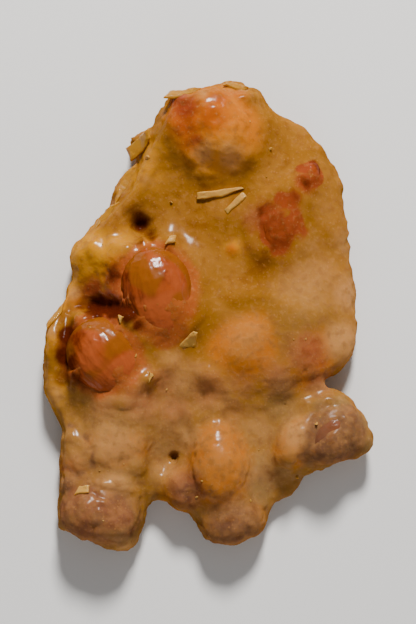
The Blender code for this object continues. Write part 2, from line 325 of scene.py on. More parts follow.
# Thin clear flakes that stand off the snapped left edge and the top.
FLAKES = (
    Shard(
        ((-2.6, -0.8), (-1.2, -1.0), (1.4, -0.7), (2.7, -0.2), (1.8, 0.5), (0.2, 0.4), (-1.6, 0.9)),
        x=-3.4, y=29.0, turn=8, tilt=24, depth=0.4, curl=0.3,
    ),
    Shard(
        ((-1.6, -0.5), (1.4, -0.6), (2.2, 0.2), (0.4, 0.6), (-1.2, 0.4)),
        x=3.4, y=30.0, turn=-4, tilt=20, depth=0.4, curl=0.3,
    ),
    Shard(
        ((-2.2, -1.4), (0.2, -1.2), (2.2, -0.4), (2.6, 1.0), (0.6, 1.2), (-0.6, 0.5), (-2.4, 0.9)),
        x=-9.0, y=22.6, turn=28, tilt=-14, depth=0.45, curl=0.4,
    ),
    Shard(
        ((-3.4, -0.5), (-0.8, -0.9), (2.2, -0.7), (3.6, 0.0), (1.4, 0.7), (-1.2, 0.5)),
        x=-11.2, y=17.4, turn=62, tilt=30, depth=0.4, curl=0.3,
    ),
    Shard(
        ((-2.6, -0.4), (0.4, -0.7), (2.8, -0.3), (1.6, 0.5), (-1.0, 0.5)),
        x=-13.6, y=12.9, turn=50, tilt=34, depth=0.4, curl=0.3,
    ),
    Shard(
        ((-2.4, -0.4), (0.8, -0.6), (2.6, 0.0), (0.6, 0.5), (-1.6, 0.4)),
        x=-20.2, y=-0.6, turn=74, tilt=30, depth=0.35, curl=0.2,
    ),
)


class Bump(NamedTuple):
    """A small swelling of the candy: its place, its reach and its height."""

    x: float
    y: float
    reach: float
    height: float


BUMPS = (
    # the glints on the glassy swell
    Bump(-15.3, 9.0, 1.1, 0.5),
    Bump(-12.4, 8.7, 0.9, 0.45),
    Bump(-10.6, 8.3, 0.8, 0.5),
    # amber beads above the upper nut and left of the dome
    Bump(-8.5, 8.9, 0.8, 0.8),
    Bump(-5.2, 8.8, 0.8, 0.6),
    Bump(3.2, 8.3, 0.9, 0.5),
    Bump(12.2, 17.8, 0.7, 0.4),
    # glints round the lower nut
    Bump(-17.3, -0.9, 0.8, 0.5),
    Bump(-10.3, -1.1, 0.7, 0.6),
    Bump(-17.4, -8.4, 0.8, 0.5),
    Bump(-9.8, -10.2, 1.0, 0.5),
    Bump(-7.7, -8.8, 1.0, 0.5),
    Bump(-5.2, -6.8, 1.4, 0.6),
    Bump(-13.6, -12.6, 1.2, 0.3),
    # the low round swell below the upper nut, and the lumps of the lower terrace
    Bump(-0.7, -8.6, 2.2, 0.5),
    Bump(-3.4, -10.6, 1.4, 0.4),
    Bump(-14.2, -14.0, 1.4, 0.3),
    Bump(6.4, -15.6, 1.6, 0.4),
    Bump(9.8, -10.2, 1.6, 0.5),
    Bump(2.8, -10.8, 1.5, 0.5),
    # the glint on the top nut
    Bump(0.4, 26.0, 1.2, 0.35),
    # the knob at the tip of the lower left foot
    Bump(-10.9, -29.6, 1.4, 0.3),
)


class Ridge(NamedTuple):
    """A thin crest of candy along a line, or a groove where the height is negative."""

    line: tuple
    reach: float
    height: float


# The brown fold round the swirl of the split nut.
FOLD = ((-18.2, -14.8), (-16.4, -16.2), (-14.9, -18.4), (-15.3, -20.6), (-17.0, -21.6), (-18.4, -20.4))
FOLD_REACH = 0.5

RIDGES = (
    # the crest down the left shoulder, and the grooves on both sides of it
    Ridge(((-7.6, 20.4), (-8.4, 17.6), (-10.4, 14.6)), 1.1, 0.2),
    Ridge(((-8.6, 21.4), (-9.8, 19.0), (-10.9, 16.2)), 0.8, -0.15),
    # the outer edge of the shoulder
    Ridge(((-12.2, 16.4), (-15.8, 12.0), (-17.9, 9.2)), 0.7, 0.2),
    # the thin lip down the left side, and the gutter behind it
    Ridge(
        ((-18.6, 3.4), (-20.0, 0.4), (-20.9, -3.8), (-21.2, -8.2), (-20.4, -11.4), (-18.8, -14.4)),
        0.6, 0.35,
    ),
    Ridge(((-18.4, 0.4), (-18.9, -2.2), (-19.3, -5.2), (-19.2, -9.4)), 0.8, -0.5),
    # the candy that runs out from the foot of the upper terrace
    Ridge(((-10.4, -13.6), (-5.4, -13.6), (0.4, -13.0)), 2.2, 0.7),
    Ridge(((2.4, -12.4), (7.0, -12.6), (11.0, -11.6)), 1.8, 0.5),
    # the swirl of the split nut at the lower left
    Ridge(FOLD, FOLD_REACH, -0.15),
    # towards the tip of the lower left foot
    Ridge(((-12.6, -28.6), (-11.0, -30.4)), 1.2, 0.4),
    # the bright edge of the lobe and the groove inside it
    Ridge(((12.4, -12.2), (15.8, -11.7), (18.8, -12.9), (20.6, -15.4), (21.0, -17.4)), 0.8, 0.15),
    Ridge(((12.2, -19.4), (14.2, -16.6), (16.4, -14.8)), 0.9, -0.4),
)

# Patches of the candy's face. Each has its x and y, its reach and how strongly it shows.
# Red nut skin just under clear candy.
STAINS = (
    (-3.9, 28.1, 1.6, 1.0), (-3.0, 26.8, 2.2, 0.9), (0.6, 27.8, 1.3, 0.6), (-3.4, 24.0, 1.6, 0.5),
    (-1.4, 22.4, 1.1, 0.7), (11.0, 14.0, 1.8, 0.8), (8.4, 12.2, 3.0, 0.85), (9.8, 8.6, 2.0, 0.7),
    (6.6, 11.6, 2.4, 0.6), (12.9, 17.0, 1.8, 1.0), (11.4, 14.9, 1.3, 0.9), (13.4, -5.0, 3.4, 0.65),
    (10.2, -9.4, 3.8, 0.2), (15.4, -9.2, 1.6, 0.4), (-13.0, 0.8, 3.2, 1.0), (-15.2, 3.2, 2.0, 0.9),
    (-12.4, 4.2, 2.0, 0.8), (-17.6, -4.4, 2.4, 0.9), (-2.6, -23.4, 2.8, 0.8), (3.0, -28.6, 3.4, 0.45),
    (-17.4, -24.2, 2.0, 0.6), (14.6, -19.2, 1.6, 0.5),
)

# Where the candy is milky with fine bubbles. The spots at the foot of the top nut paint light on its
# shaded underside, and those on the top nut and the nut by the lobe are painted highlights.
MILKY_AND_LIGHT = (
    (17.8, -4.0, 3.2, 1.0), (18.6, 2.6, 3.0, 0.85), (17.8, 9.4, 2.4, 0.5), (13.4, 4.0, 5.4, 0.6),
    (15.2, 14.0, 3.0, 0.3), (13.2, -4.8, 2.4, 0.5), (5.0, -4.0, 4.4, 0.5), (2.8, 20.0, 2.3, 0.8),
    (-6.6, -18.0, 1.8, 0.8), (-12.0, -22.0, 3.0, 0.8), (-12.4, -17.6, 5.0, 0.85), (1.6, -19.0, 2.0, 0.4),
    (-0.6, 28.4, 0.9, 0.6), (4.8, 29.8, 0.9, 0.5), (-0.4, 20.6, 2.0, 0.8), (9.7, -9.9, 2.0, 0.4),
    (-14.6, -27.6, 3.4, 0.35), (-10.9, -30.2, 1.8, 0.95), (13.8, 8.4, 2.8, 0.45), (-10.6, -27.2, 1.4, 0.6),
    (-17.4, -18.4, 2.8, 0.45), (-5.4, -16.6, 3.4, 0.6), (-6.2, -20.4, 2.4, 0.6), (-4.8, -6.4, 2.2, 0.6),
    (-3.0, -8.8, 3.2, 0.65), (-2.8, -16.6, 2.4, 0.8), (-1.2, -21.0, 1.4, 0.4), (6.8, -15.6, 3.4, 0.6),
    (12.9, -16.4, 1.2, 0.9), (7.4, -21.0, 3.2, 0.75), (12.0, -16.4, 3.2, 0.9), (-17.6, 2.8, 1.4, 0.7),
    (-20.8, -2.6, 1.2, 0.6), (-20.2, -11.2, 1.6, 0.6), (-8.1, 17.4, 1.3, 0.5),
)

# Clear glassy amber candy. The patch at the foot of the top nut paints light on its shaded underside.
AMBERS_AND_LIGHT = (
    (-15.2, 7.6, 3.6, 1.0), (-12.0, 9.4, 2.4, 0.6), (-8.4, 18.2, 2.4, 0.6), (-7.4, 21.6, 2.0, 0.4),
    (1.2, 20.4, 3.4, 0.4), (-17.6, 3.0, 2.0, 0.7), (-20.6, -4.0, 1.6, 0.6), (-20.2, -11.0, 2.0, 0.6),
    (3.4, 8.4, 1.2, 0.7), (-8.5, 8.9, 1.2, 0.7),
)

# Clear copper candy right over red skin.
COPPER = (
    (-3.0, 25.2, 3.0, 1.0), (-2.4, 22.4, 2.0, 0.7), (0.2, 25.4, 2.6, 0.85), (1.6, 27.6, 2.0, 0.7),
    (4.2, 28.6, 1.6, 0.5), (3.1, 8.3, 0.9, 0.6), (-11.8, 6.0, 2.2, 0.7), (-16.8, 1.6, 2.0, 0.5),
)

# Milky candy that took colour from the nuts.
ROSY = (
    (-8.6, -12.2, 3.0, 0.9), (-13.4, -12.6, 2.4, 0.7), (-4.4, -12.8, 3.0, 0.8), (-5.6, -9.4, 2.4, 0.8),
    (0.0, -10.4, 3.2, 0.8), (4.6, -9.4, 3.0, 0.6), (9.0, -8.6, 3.0, 0.7), (12.8, -6.0, 3.6, 0.8),
    (14.6, -9.4, 2.6, 0.7), (3.4, -13.2, 3.0, 0.5), (10.4, -12.6, 2.4, 0.4), (17.0, -17.8, 2.4, 0.6),
    (-3.4, -21.6, 2.4, 0.6), (3.4, -28.0, 3.0, 0.6), (6.0, 12.2, 2.4, 0.6), (5.6, 8.6, 2.0, 0.4),
    (-13.6, -25.2, 4.0, 0.9), (-15.4, -28.6, 3.4, 0.8), (-17.0, -20.6, 3.0, 0.6),
)

# Dull yellow candy, in the lower half and on the right slope.
STRAW = (
    (14.6, -12.4, 1.8, 0.7), (17.4, -12.4, 2.0, 0.9), (20.0, -14.4, 1.8, 0.9), (20.8, -17.4, 1.8, 0.8),
    (7.0, -19.6, 3.0, 0.6), (7.4, -23.4, 3.0, 0.8), (10.0, -20.6, 2.0, 0.7), (-3.4, -14.6, 2.6, 0.5),
    (-10.4, -29.2, 2.0, 0.7), (12.5, -2.0, 7.0, 0.45), (9.5, -12.4, 3.6, 0.7), (-6.0, -18.0, 2.2, 0.65),
    (6.6, -15.2, 2.4, 0.4),
)

# Where wrinkled skin just under the candy makes it knobbly.
KNOBBLY = (
    (-14.6, -26.0, 4.4, 1.0), (-17.2, -18.8, 2.4, 0.6), (18.0, -16.4, 2.6, 0.7), (3.2, -28.0, 3.4, 0.6),
    (-3.0, -23.4, 2.4, 0.7), (1.0, 24.4, 5.4, 0.7), (8.8, 11.4, 3.6, 0.6),
)

# Dull brown candy over small nuts and beside them, most of it in the lower half. The patches under the
# dome and at the notch above the lobe are painted shade.
DUSKY_AND_SHADE = (
    (3.2, -28.0, 4.4, 1.0), (-2.8, -23.6, 2.6, 0.85), (-14.6, -27.4, 4.4, 0.7), (-17.4, -26.4, 2.4, 0.6),
    (-12.0, -25.0, 2.4, 0.8), (-18.4, -22.8, 1.4, 1.0), (16.2, -16.4, 2.8, 0.9), (7.4, -22.0, 2.6, 0.5),
    (5.0, -4.2, 3.8, 0.2), (9.6, -9.8, 2.4, 0.6), (14.6, -9.2, 2.2, 0.55), (2.6, -11.6, 1.8, 0.35),
)

# Painted shade in the hollows and under the top nut, where the candy also lies deep and clear.
DEEP_SHADES = (
    (-2.2, 17.0, 2.2, 0.2), (-12.4, 11.6, 1.6, 0.5), (-2.0, 11.6, 4.8, 0.35), (9.6, 22.4, 3.8, 0.3),
    (7.2, 6.3, 2.2, 0.7), (5.0, 4.0, 2.8, 0.35), (10.4, 6.2, 1.5, 0.45), (-9.6, 13.2, 2.0, 0.6),
    (-11.7, 15.6, 1.2, 0.6), (-9.5, 20.0, 1.0, 0.5), (-19.2, -5.2, 1.2, 0.9), (-19.2, -8.8, 1.2, 0.9),
    (-2.2, -0.4, 1.8, 0.65), (16.8, 8.8, 0.9, 0.4), (-2.8, -24.4, 1.6, 0.5), (7.6, -21.6, 2.8, 0.2),
    (18.0, -12.4, 2.0, 0.3),
)

# Dark red painted shade in the clefts round the bare nuts.
SHADED_CLEFTS = (
    (-8.9, 11.8, 1.5, 0.75), (-7.6, 10.2, 1.3, 0.6), (-8.9, 9.3, 1.1, 0.55), (-16.8, 1.0, 1.3, 0.6),
    (-14.6, 0.4, 1.9, 0.95), (-12.4, 0.1, 1.7, 1.0), (-10.4, -0.6, 1.6, 1.0), (-9.0, -2.2, 1.3, 0.7),
    (-18.2, -3.2, 1.7, 1.0), (-18.6, -5.8, 1.7, 1.0), (-17.3, -9.0, 1.4, 0.6), (-12.2, 4.6, 1.6, 0.55),
    (-10.8, 6.6, 1.0, 0.4), (9.4, 9.0, 2.0, 0.4), (8.4, 11.4, 3.0, 0.35), (7.4, 13.2, 1.6, 0.45),
    (7.8, 7.4, 1.2, 0.4), (13.0, 16.8, 1.0, 0.6), (11.6, 15.2, 0.8, 0.4),
)

# The broad smooth crown on the right, along its middle.
CROWN = ((10.0, 21.0), (6.0, 13.0), (6.6, 4.0), (6.0, -5.0))
CROWN_REACH = 11.0

# The one hole through the candy with the reach that it stays open in, and how much of the hollows
# elsewhere fills up.
HOLE = (-4.6, -19.4)
HOLE_REACH = (1.5, 3.0)
POOL_PASSES = 200
POOL_SHARE = 0.8

# The heights between which these set in: marks on the upper face, filled hollows and brown folds, and
# drawn bumps.
MARKED_FROM = (1.5, 3.5)
FILLED_FROM = (1.5, 3.0)
DRAWN_FROM = (1.0, 2.5)

# A height well above the piece.
SKY = 50.0

# Burst bubbles: the smallest reach, how much larger the largest are, and their depth as a share.
BUBBLE_REACH = 0.35
BUBBLE_SPREAD = 0.4
BUBBLE_DEPTH = 0.22

# How deep the candy sinks under bare skin, and how thick its film is over clean and over dull skin.
BARE_DEPTH = 0.4
FILM_THICKNESS = 0.14
DULL_FILM = 0.2

# The candy is clear where it is this thin, and gets painted shade where smoothing would fill it by this
# much.
THICKEST = 6.0
CLEAR_FROM = (0.6, 3.4)
HOLLOW_PASSES = 60
HOLLOW_FROM = (0.03, 0.32)

# Along y, where the clear thin candy ends, where dull straw candy begins, and how strong that is.
LOWER_FROM = (-16.0, -10.0)
STRAW_FROM = (-12.0, -4.0)
STRAW_SHARE = 0.42

# Shards in cross-section: the levels of their rings as shares of the depth, and how wide each is.
SHARD_RINGS = ((-0.5, 0.8), (-0.2, 1.0), (0.2, 0.97), (0.5, 0.72))

# Crumbs: the smallest radius, and how much larger the largest are.
CRUMB_SMALLEST = 0.1
CRUMB_SPREAD = 0.26

# The stage in metres: where the lights stand from the middle of the piece, how broad they are, how
# far the floor reaches, and the share of the picture's height that the piece takes up.
FRONT_FROM = Vector((0.06, -0.44, 0.17))
FRONT_BREADTH = 0.4
KEY_FROM = Vector((0.05, 0.42, 0.35))
KEY_BREADTH = 0.12
FLOOR_REACH = 2.0
SHOWN_SHARE = 0.76


def points_of(mesh):
    """The mesh's vertices in millimetres, one row each."""
    points = np.empty(len(mesh.vertices) * 3)
    mesh.vertices.foreach_get("co", points)
    return points.reshape(-1, 3) / MM


def set_points(mesh, points):
    """Moves the mesh's vertices to these places, in millimetres."""
    mesh.vertices.foreach_set("co", (points * MM).ravel())
    mesh.update()


def outward(mesh):
    """The direction out of the surface at each vertex."""
    directions = np.empty(len(mesh.vertices) * 3)
    mesh.vertex_normals.foreach_get("vector", directions)
    return directions.reshape(-1, 3)


def add_object(name, mesh):
    """Puts the mesh in the scene under this name."""
    obj = bpy.data.objects.new(name, mesh)
    bpy.context.scene.collection.objects.link(obj)
    return obj


def apply_modifiers(obj):
    """Makes the shape that the modifiers give the object's own mesh."""
    graph = bpy.context.evaluated_depsgraph_get()
    finished = bpy.data.meshes.new_from_object(obj.evaluated_get(graph))
    finished.name = obj.name
    obj.modifiers.clear()
    obj.data = finished


def remesh(obj, grain):
    """Rebuilds the object as one even mesh with edges this long, in metres."""
    even = obj.modifiers.new("even", "REMESH")
    even.mode = "VOXEL"
    even.voxel_size = grain
    even.use_smooth_shade = True
    apply_modifiers(obj)


def smooth(obj, passes, strength=0.5):
    """Relaxes the object's mesh."""
    relaxed = obj.modifiers.new("relaxed", "SMOOTH")
    relaxed.factor = strength
    relaxed.iterations = passes
    apply_modifiers(obj)


def swell(obj, distance):
    """Moves the surface outwards by this many millimetres, or inwards if negative."""
    set_points(obj.data, points_of(obj.data) + distance * outward(obj.data))


def joined(name, meshes):
    """One object that holds copies of all these meshes, each welded to a closed surface."""
    body = bmesh.new()
    for mesh in meshes:
        body.from_mesh(mesh)
    bmesh.ops.remove_doubles(body, verts=body.verts, dist=1e-6)
    mesh = bpy.data.meshes.new(name)
    body.to_mesh(mesh)
    body.free()
    return add_object(name, mesh)


def lumps(points, size, seed, sharp=False):
    """Smooth noise at each point, from -1 to 1, or ridged from 0 to 1, with lumps of this size."""
    shift = Vector((seed, 1.7 * seed, 2.3 * seed))
    values = np.array([noise.noise(Vector(p) / size + shift) for p in points])
    return 1.0 - np.abs(values) * 2.0 if sharp else values


def fade(values, low, high):
    """Rises smoothly from 0 where the values are at low to 1 where they are at high."""
    share = np.clip((values - low) / (high - low), 0.0, 1.0)
    return share * share * (3.0 - 2.0 * share)


def beyond_kernel(points, kernel):
    """How far each point is outside an oval nut, negative inside it."""
    local = (points - kernel.middle) @ kernel.axes.T
    reach = np.linalg.norm(local / kernel.half, axis=1)
    slope = np.linalg.norm(local / kernel.half**2, axis=1)
    return reach * (reach - 1.0) / np.maximum(slope, 1e-9)


def beyond_surface(points, obj, limit):
    """How far each point is outside a closed object, up to a limit, negative inside it."""
    tree = surface_of(obj)
    low = points_of(obj.data).min(axis=0) - limit
    high = points_of(obj.data).max(axis=0) + limit
    near = np.flatnonzero(np.all((points > low) & (points < high), axis=1))
    found = np.full(len(points), limit)
    for index in near:
        point = Vector(points[index] * MM)
        hit, normal, _, distance = tree.find_nearest(point, limit * MM)
        if hit is not None:
            found[index] = math.copysign(distance / MM, (point - hit).dot(normal))
    return found


def keep_values(mesh, name, values):
    """Stores one number for each vertex, for the material to read."""
    layer = mesh.attributes.new(name, "FLOAT", "POINT")
    layer.data.foreach_set("value", values.astype(np.float32))


def surface_of(obj):
    """A tree of the object's surface, to find places on it."""
    return BVHTree.FromObject(obj, bpy.context.evaluated_depsgraph_get())


def top_at(tree, x, y):
    """The highest point of the surface over a place, and the surface's direction there."""
    return tree.ray_cast(Vector((x, y, SKY)) * MM, Vector((0.0, 0.0, -1.0)))[:2]


def calm(points):
    """How smooth the candy lies at each point: 1 on the crown, falling to 0 away from it."""
    return np.exp(-((distance_to_line(points, CROWN) / CROWN_REACH) ** 2))


def distance_to_line(points, line):
    """How far each point is from a line of places, seen from above."""
    nearest = np.full(len(points), np.inf)
    for start, end in zip(np.array(line[:-1]), np.array(line[1:])):
        run = end - start
        along = np.clip((points[:, :2] - start) @ run / (run @ run), 0.0, 1.0)
        away = points[:, :2] - start - along[:, None] * run
        nearest = np.minimum(nearest, np.linalg.norm(away, axis=1))
    return nearest


def drawn_detail(points):
    """How far the bumps and ridges lift each point of the candy's upper face."""
    lift = np.zeros(len(points))
    for bump in BUMPS:
        away = np.hypot(points[:, 0] - bump.x, points[:, 1] - bump.y) / bump.reach
        lift += bump.height * np.exp(-(away**2))
    ragged = 1.0 + 0.5 * lumps(points, 1.8, 27.0)
    for ridge in RIDGES:
        away = distance_to_line(points, ridge.line) / ridge.reach
        lift += ridge.height * ragged * np.exp(-(away**2))
    return lift


def patches(points, spots):
    """How strongly the nearest of these patches shows at each point."""
    upper = fade(points[:, 2], *MARKED_FROM)
    shown = np.zeros(len(points))
    for x, y, reach, strength in spots:
        away = np.hypot(points[:, 0] - x, points[:, 1] - y) / reach
        shown = np.maximum(shown, strength * upper * np.exp(-(away**2)))
    return shown


def folds(points):
    """How strongly the brown folds of a nut's skin show at each point."""
    away = distance_to_line(points, FOLD) / FOLD_REACH * (1.0 + 0.9 * lumps(points, 0.9, 37.0))
    broken = 0.3 + 0.5 * fade(lumps(points, 1.6, 39.0), -0.3, 0.3)
    return broken * np.exp(-(away**2)) * fade(points[:, 2], *FILLED_FROM)


def burst_bubbles(points, count, seed):
    """How far each point sinks into the pits that burst bubbles left."""
    chance = random.Random(seed)
    tree = KDTree(len(points))
    for index, point in enumerate(points):
        tree.insert(point, index)
    tree.balance()
    sink = np.zeros(len(points))
    for _ in range(count):
        middle = points[chance.randrange(len(points))]
        reach = BUBBLE_REACH + BUBBLE_SPREAD * chance.random() ** 3
        for _, index, away in tree.find_range(middle, reach):
            ratio = away / reach
            bowl = max(0.0, 1.0 - ratio * ratio)
            sink[index] += BUBBLE_DEPTH * reach * bowl
    return sink


def local_thickness(obj, limit):
    """How thick the candy is under each vertex, up to a limit."""
    tree = surface_of(obj)
    points = points_of(obj.data)
    normals = outward(obj.data)
    found = np.full(len(points), limit)
    for index, (point, normal) in enumerate(zip(points, normals)):
        inward = Vector(-normal)
        start = Vector(point * MM) + inward * 0.05 * MM
        hit, _, _, distance = tree.ray_cast(start, inward, limit * MM)
        if hit is not None:
            found[index] = distance / MM
    return found


def evened(obj, passes):
    """How far each vertex moves out when the surface is smoothed, in millimetres: hollows rise."""
    copy = add_object("evened", obj.data.copy())
    smooth(copy, passes)
    rise = np.einsum("ij,ij->i", points_of(copy.data) - points_of(obj.data), outward(obj.data))
    bpy.data.objects.remove(copy)
    return rise


def finish_piece(piece, material, slot, *nodes):
    """Gives a piece its finish and its place in the whole."""
    piece.data.materials.clear()
    piece.data.materials.append(material)
    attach(piece, "root")
    if nodes:
        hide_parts(*nodes)


class Value:
    """A number in a material. Arithmetic with it adds the Math nodes that work it out."""

    def __init__(self, shader, socket):
        self.shader = shader
        self.socket = socket

    def combined(self, operation, first, second):
        return self.shader.node("ShaderNodeMath", {"operation": operation}, {0: first, 1: second})

    def __add__(self, other):
        return self.combined("ADD", self, other)

    def __radd__(self, other):
        return self.combined("ADD", other, self)

    def __sub__(self, other):
        return self.combined("SUBTRACT", self, other)

    def __rsub__(self, other):
        return self.combined("SUBTRACT", other, self)

    def __mul__(self, other):
        return self.combined("MULTIPLY", self, other)

    def between(self, low, high):
        """Rises smoothly from 0 at low to 1 at high."""
        settings = {"interpolation_type": "SMOOTHSTEP"}
        return self.shader.node("ShaderNodeMapRange", settings, {0: self, 1: low, 2: high})


class Shader:
    """A material in the making, with a Principled surface."""

    def __init__(self, name):
        self.material = bpy.data.materials.new(name)
        self.material.use_nodes = True
        self.tree = self.material.node_tree
        self.surface = self.tree.nodes["Principled BSDF"]
        self.place = self.node("ShaderNodeTexCoord", output="Object")

    def feed(self, socket, value):
        """Links a value to a socket, or sets a plain number or colour on it."""
        if isinstance(value, Value):
            self.tree.links.new(value.socket, socket)
        elif socket.type == "RGBA":
            socket.default_value = (*value, 1.0)
        else:
            socket.default_value = value

    def node(self, kind, settings=None, inputs=None, output=0):
        """Adds a node with its settings and its sockets' values or links."""
        made = self.tree.nodes.new(kind)
        for name, value in (settings or {}).items():
            setattr(made, name, value)
        for name, value in (inputs or {}).items():
            self.feed(made.inputs[name], value)
        return Value(self, made.outputs[output])

    def mix(self, share, first, second):
        """Blends two colours."""
        return self.node("ShaderNodeMix", {"data_type": "RGBA"}, {0: share, 6: first, 7: second}, 2)

    def stored(self, name):
        """A number kept on the mesh."""
        return self.node("ShaderNodeAttribute", {"attribute_name": name}, output="Fac")

    def ragged(self, name, spots, amount, low=0.1, high=0.9):
        """A number kept on the mesh, with its edges broken up by noise."""
        return (self.stored(name) + spots * amount - amount / 2).between(low, high)

    def painted(self, colour, layers):
        """The colour with layers painted over it in turn, each from its share and its colour."""
        for share, layer in layers:
            colour = self.mix(share, colour, layer)
        return colour

    def mottle(self, size_mm, detail=2.0, warp=0.0):
        """Cloudy noise with spots of this size."""
        scale = 1.0 / (size_mm * MM)
        inputs = {"Vector": self.place, "Scale": scale, "Detail": detail, "Distortion": warp}
        return self.node("ShaderNodeTexNoise", inputs=inputs)

    def cells(self, size_mm):
        """Distance from the middle of the nearest cell of this size, as a share of the size."""
        inputs = {"Vector": self.place, "Scale": 1.0 / (size_mm * MM)}
        return self.node("ShaderNodeTexVoronoi", inputs=inputs)

    def relief(self, height, height_mm, strength):
        """The direction of the surface, bumped by a height from 0 to 1."""
        inputs = {"Height": height, "Distance": height_mm * MM, "Strength": strength}
        return self.node("ShaderNodeBump", inputs=inputs)

    def finished(self, values):
        """The material, with these values of its surface set or linked."""
        for socket, value in values.items():
            self.feed(self.surface.inputs[socket], value)
        return self.material


def candy_material(settings):
    """Glossy candy: golden where thick, amber where thin, redder over the nuts."""
    shader = Shader("candy_gloss")
    cloud = shader.mottle(5.0, 3.0, 0.6)
    fine = shader.mottle(1.1, 3.0)
    sugary = shader.mottle(0.55, 4.0, 0.3)
    crumpled = shader.mottle(1.4, 2.0, 0.4).between(0.36, 0.66)
    bubble = 1.0 - shader.cells(0.6).between(0.1, 0.28)
    calm_here = shader.stored("calm")
    steep = shader.stored("steep")
    hollow_shade = shader.ragged("hollow_shade", fine, 0.3)
    milky_and_light = shader.ragged("milky_and_light", fine, 0.5)
    straw = shader.ragged("straw", fine, 0.5)
    deep_shade = shader.ragged("deep_shade", fine, 0.5)
    dusky_and_shade = shader.ragged("dusky_and_shade", fine, 0.5)
    cleft_shade = shader.ragged("cleft_shade", fine, 0.6, 0.15, 0.75)
    colour = shader.mix(cloud.between(0.38, 0.66) * 0.7, settings.golden, settings.pale)
    colour = shader.painted(colour, (
        (shader.stored("over_nut") * 0.8, settings.over_nut),
        (shader.stored("thin") * 0.9, settings.amber),
        (shader.stored("rim") * 0.7, settings.pale),
        (shader.ragged("rosy", fine, 0.5) * 0.8, settings.rosy),
        (shader.ragged("copper", cloud, 0.8) * 0.9, settings.copper),
        # Painted shade in the hollows, weaker on the smooth crown.
        (hollow_shade * (0.42 - calm_here * 0.22), settings.shade_and_deep_tone),
        # Milky candy, and painted light and highlights at a few spots.
        (milky_and_light * 0.85, settings.milky_and_light),
        (straw * 0.85, settings.straw),
        # Painted shade in the deep hollows.
        (deep_shade * 0.85, settings.shade_and_deep_tone),
        (shader.ragged("stain", fine, 0.5, 0.2, 0.85) * 0.85, settings.red_stain),
        (shader.ragged("near_bare", fine, 0.4) * 0.75, bpy.context.scene.brittle_nuts.glazed),
        # Dull brown candy, and painted shade under the dome and at the notch above the lobe.
        (dusky_and_shade * 0.85, shader.mix(crumpled * 0.25, settings.dusky_and_shade, settings.milky_and_light)),
        (sugary.between(0.5, 0.68) * 0.2, settings.milky_and_light),
        (bubble * fine.between(0.42, 0.58) * 0.32, settings.milky_and_light),
        (fine.between(0.48, 0.7) * 0.34, settings.shade_and_deep_tone),
        # Painted shade in the clefts.
        (cleft_shade * 0.95, settings.cleft_shade),
    ))
    dull = (cleft_shade + deep_shade * 0.6 + hollow_shade * 0.5).between(0.0, 1.0)
    sheen = (1.0 - calm_here).between(0.12, 1.0) * 0.55 * (1.0 - dusky_and_shade * 0.8) * (1.0 - milky_and_light * 0.5)
    sheen = sheen * (1.0 - straw * 0.6)
    return shader.finished({
        "Base Color": colour,
        "Roughness": 0.3 + fine * 0.16 + calm_here * 0.1 + dull * 0.25 + steep * 0.3,
        "Coat Weight": sheen * (1.0 - dull * 0.9) * (1.0 - steep),
        "Coat Roughness": 0.2,
        "Specular IOR Level": 0.0,
        "Subsurface Weight": 0.2,
        "Subsurface Radius": (1.0, 0.45, 0.08),
        "Subsurface Scale": 1.0 * MM,
        "IOR": 1.5,
        "Normal": shader.relief(fine * 0.6 + sugary * 0.3 + bubble * 0.1, 0.14, 0.6),
    })


def skin_material(settings):
    """Roasted nut skin under a clear glaze, more orange where the glaze is thick, with painted shade."""
    shader = Shader("nut_skin_glazed")
    cloud = shader.mottle(2.6, 3.0, 0.5)
    fine = shader.mottle(0.5, 3.0)
    shade = shader.stored("shade")
    dull = shader.stored("dull")
    # Painted shade: the skin darkens along its veins, in random mottles, and where shade is painted.
    dark = (shader.stored("vein") * 0.18 + cloud.between(0.42, 0.72) * 0.75 + shade).between(0.1, 1.2)
    colour = shader.painted(settings.skin, (
        (dark, settings.dark),
        ((shader.stored("glaze") + fine * 0.3 - 0.15).between(0.05, 0.95), settings.glazed),
        (shader.ragged("gold", fine, 0.4) * 0.8, settings.gold),
        (dull * (0.85 - cloud.between(0.45, 0.6) * 0.3), bpy.context.scene.brittle_candy.dusky_and_shade),
    ))
    unshaded_pale_skin = 1.0 - shade.between(0.2, 0.8)
    return shader.finished({
        "Base Color": colour,
        "Roughness": 0.3 + fine * 0.15,
        "Coat Weight": unshaded_pale_skin * 0.6 * (1.0 - dull * 0.7),
        "Coat Roughness": 0.2,
        "Specular IOR Level": 0.0,
        "Subsurface Weight": 0.08,
        "Subsurface Radius": (1.0, 0.3, 0.1),
        "Subsurface Scale": 0.8 * MM,
        "Normal": shader.relief(fine * 0.7 + shader.mottle(0.3, 2.0) * 0.3, 0.03, 0.3),
    })


def scrap_material(name, colour):
    """Thin dry candy, as slivers, flakes and crumbs are."""
    shader = Shader(name)
    cloud = shader.mottle(0.8, 3.0)
    amber = bpy.context.scene.brittle_candy.amber
    return shader.finished({
        "Base Color": shader.mix(cloud.between(0.55, 0.75) * 0.3, colour, amber),
        "Roughness": 0.3 + cloud * 0.2,
        "Coat Weight": 0.2,
        "Specular IOR Level": 0.1,
        "Subsurface Weight": 0.3,
        "Subsurface Radius": (1.0, 0.5, 0.2),
        "Subsurface Scale": 1.0 * MM,
        "Normal": shader.relief(cloud, 0.08, 0.5),
    })


def fine_nut(name, grain):
    """The nut of one node as a fine, even mesh."""
    nut = joined(name, [frame["nodes"][name].data])
    nut.name = f"{name}_skin"
    remesh(nut, grain)
    smooth(nut, 6)
    return nut


def own_axes(points):
    """A nut's middle and the directions of its length, width and depth, as rows."""
    middle = points.mean(axis=0)
    _, _, rows = np.linalg.svd(points[::7] - middle, full_matrices=False)
    return middle, rows


